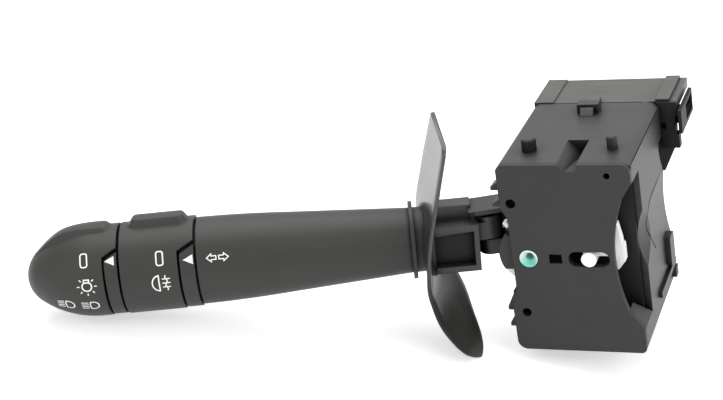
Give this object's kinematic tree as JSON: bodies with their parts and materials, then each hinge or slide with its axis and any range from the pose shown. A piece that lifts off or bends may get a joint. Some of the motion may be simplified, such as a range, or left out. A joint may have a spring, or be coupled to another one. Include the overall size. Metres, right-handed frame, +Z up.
{
  "type": "combination stalk switch",
  "caption": "Column stalk switch with tapered handle, turning light knob, fog lamp ring, dust shield and boxed housing with pull and direction travel.",
  "frame": {"origin": "foot centre of the ribbed locating peg on the top face of the housing", "axes": "+X from the lever towards the column, +Y away from the driver along the column, +Z up along the locating pegs"},
  "size_m": [0.221, 0.1295, 0.0834],
  "materials": {
    "housing_black": "satin",
    "lever_black": "satin",
    "grip_black": "matte",
    "shield_satin": "satin",
    "white_acetal": "satin",
    "mint_acetal": "satin",
    "contact_copper": "satin",
    "board_brown": "satin",
    "pin_steel": "brushed"
  },
  "bodies": {
    "housing": {"front_plate": "housing_black", "main_casing": "housing_black", "rear_casing": "housing_black", "side_bracket": "housing_black", "latch_loop": "housing_black", "contact_board": "board_brown", "terminal_blades": "contact_copper", "pivot_pin": "mint_acetal", "detent_track": "white_acetal", "cancel_guide": "housing_black"},
    "lever_carrier": {"lever_carrier": "lever_black", "signal_rotor": "white_acetal", "signal_wiper": "contact_copper", "pull_pin": "pin_steel", "detent_spring": "pin_steel"},
    "detent_plunger": {"detent_plunger": "white_acetal"},
    "cancel_slider": {"cancel_slider": "white_acetal"},
    "cancel_finger": {"cancel_finger": "white_acetal"},
    "stalk": {"lever_root": "lever_black", "stalk_sleeve": "grip_black", "core_tube": "lever_black", "stalk_handle": "grip_black", "inner_pointer_ring": "grip_black", "outer_pointer_ring": "grip_black", "fog_contact_board": "board_brown", "light_contact_board": "board_brown", "spindle_clip": "pin_steel", "dust_shield": "shield_satin"},
    "fog_ring": {"fog_ring": "grip_black", "fog_wiper": "contact_copper"},
    "light_knob": {"light_knob": "grip_black", "light_wiper": "contact_copper"}
  },
  "joints": [
    {"name": "signal_swing", "type": "hinge", "parent": "housing", "child": "lever_carrier", "pos_m": [-0.0011, 0.0116, -0.0352], "axis": [0, 1, 0], "range_deg": [-14, 14]},
    {"name": "beam_pull", "type": "hinge", "parent": "lever_carrier", "child": "stalk", "pos_m": [-0.01973, 0.00434, -0.0352], "axis": [0, 0, 1], "range_deg": [0, 12], "stiffness_Nm_per_rad": 2, "springref_deg": -6.88},
    {"name": "fog_ring_turn", "type": "hinge", "parent": "stalk", "child": "fog_ring", "pos_m": [-0.13314, -0.03988, -0.02628], "axis": [-0.9299, -0.3625, 0.0628], "range_deg": [0, 30]},
    {"name": "light_knob_turn", "type": "hinge", "parent": "stalk", "child": "light_knob", "pos_m": [-0.15453, -0.04822, -0.02484], "axis": [-0.9299, -0.3625, 0.0628], "range_deg": [0, 60]},
    {"name": "cancel_slide", "type": "slide", "parent": "housing", "child": "cancel_slider", "axis": [1, 0, 0], "range_m": [0, 0.003], "stiffness_N_per_m": 300, "springref_m": -0.002},
    {"name": "cancel_finger_turn", "type": "hinge", "parent": "cancel_slider", "child": "cancel_finger", "pos_m": [0.0244, -0.0062, -0.0333], "axis": [0, 1, 0], "range_deg": [-16, 16], "stiffness_Nm_per_rad": 0.02},
    {"name": "detent_slide", "type": "slide", "parent": "lever_carrier", "child": "detent_plunger", "axis": [-1, 0, 0], "range_m": [0, 0.001], "stiffness_N_per_m": 800, "springref_m": -0.001}
  ]
}
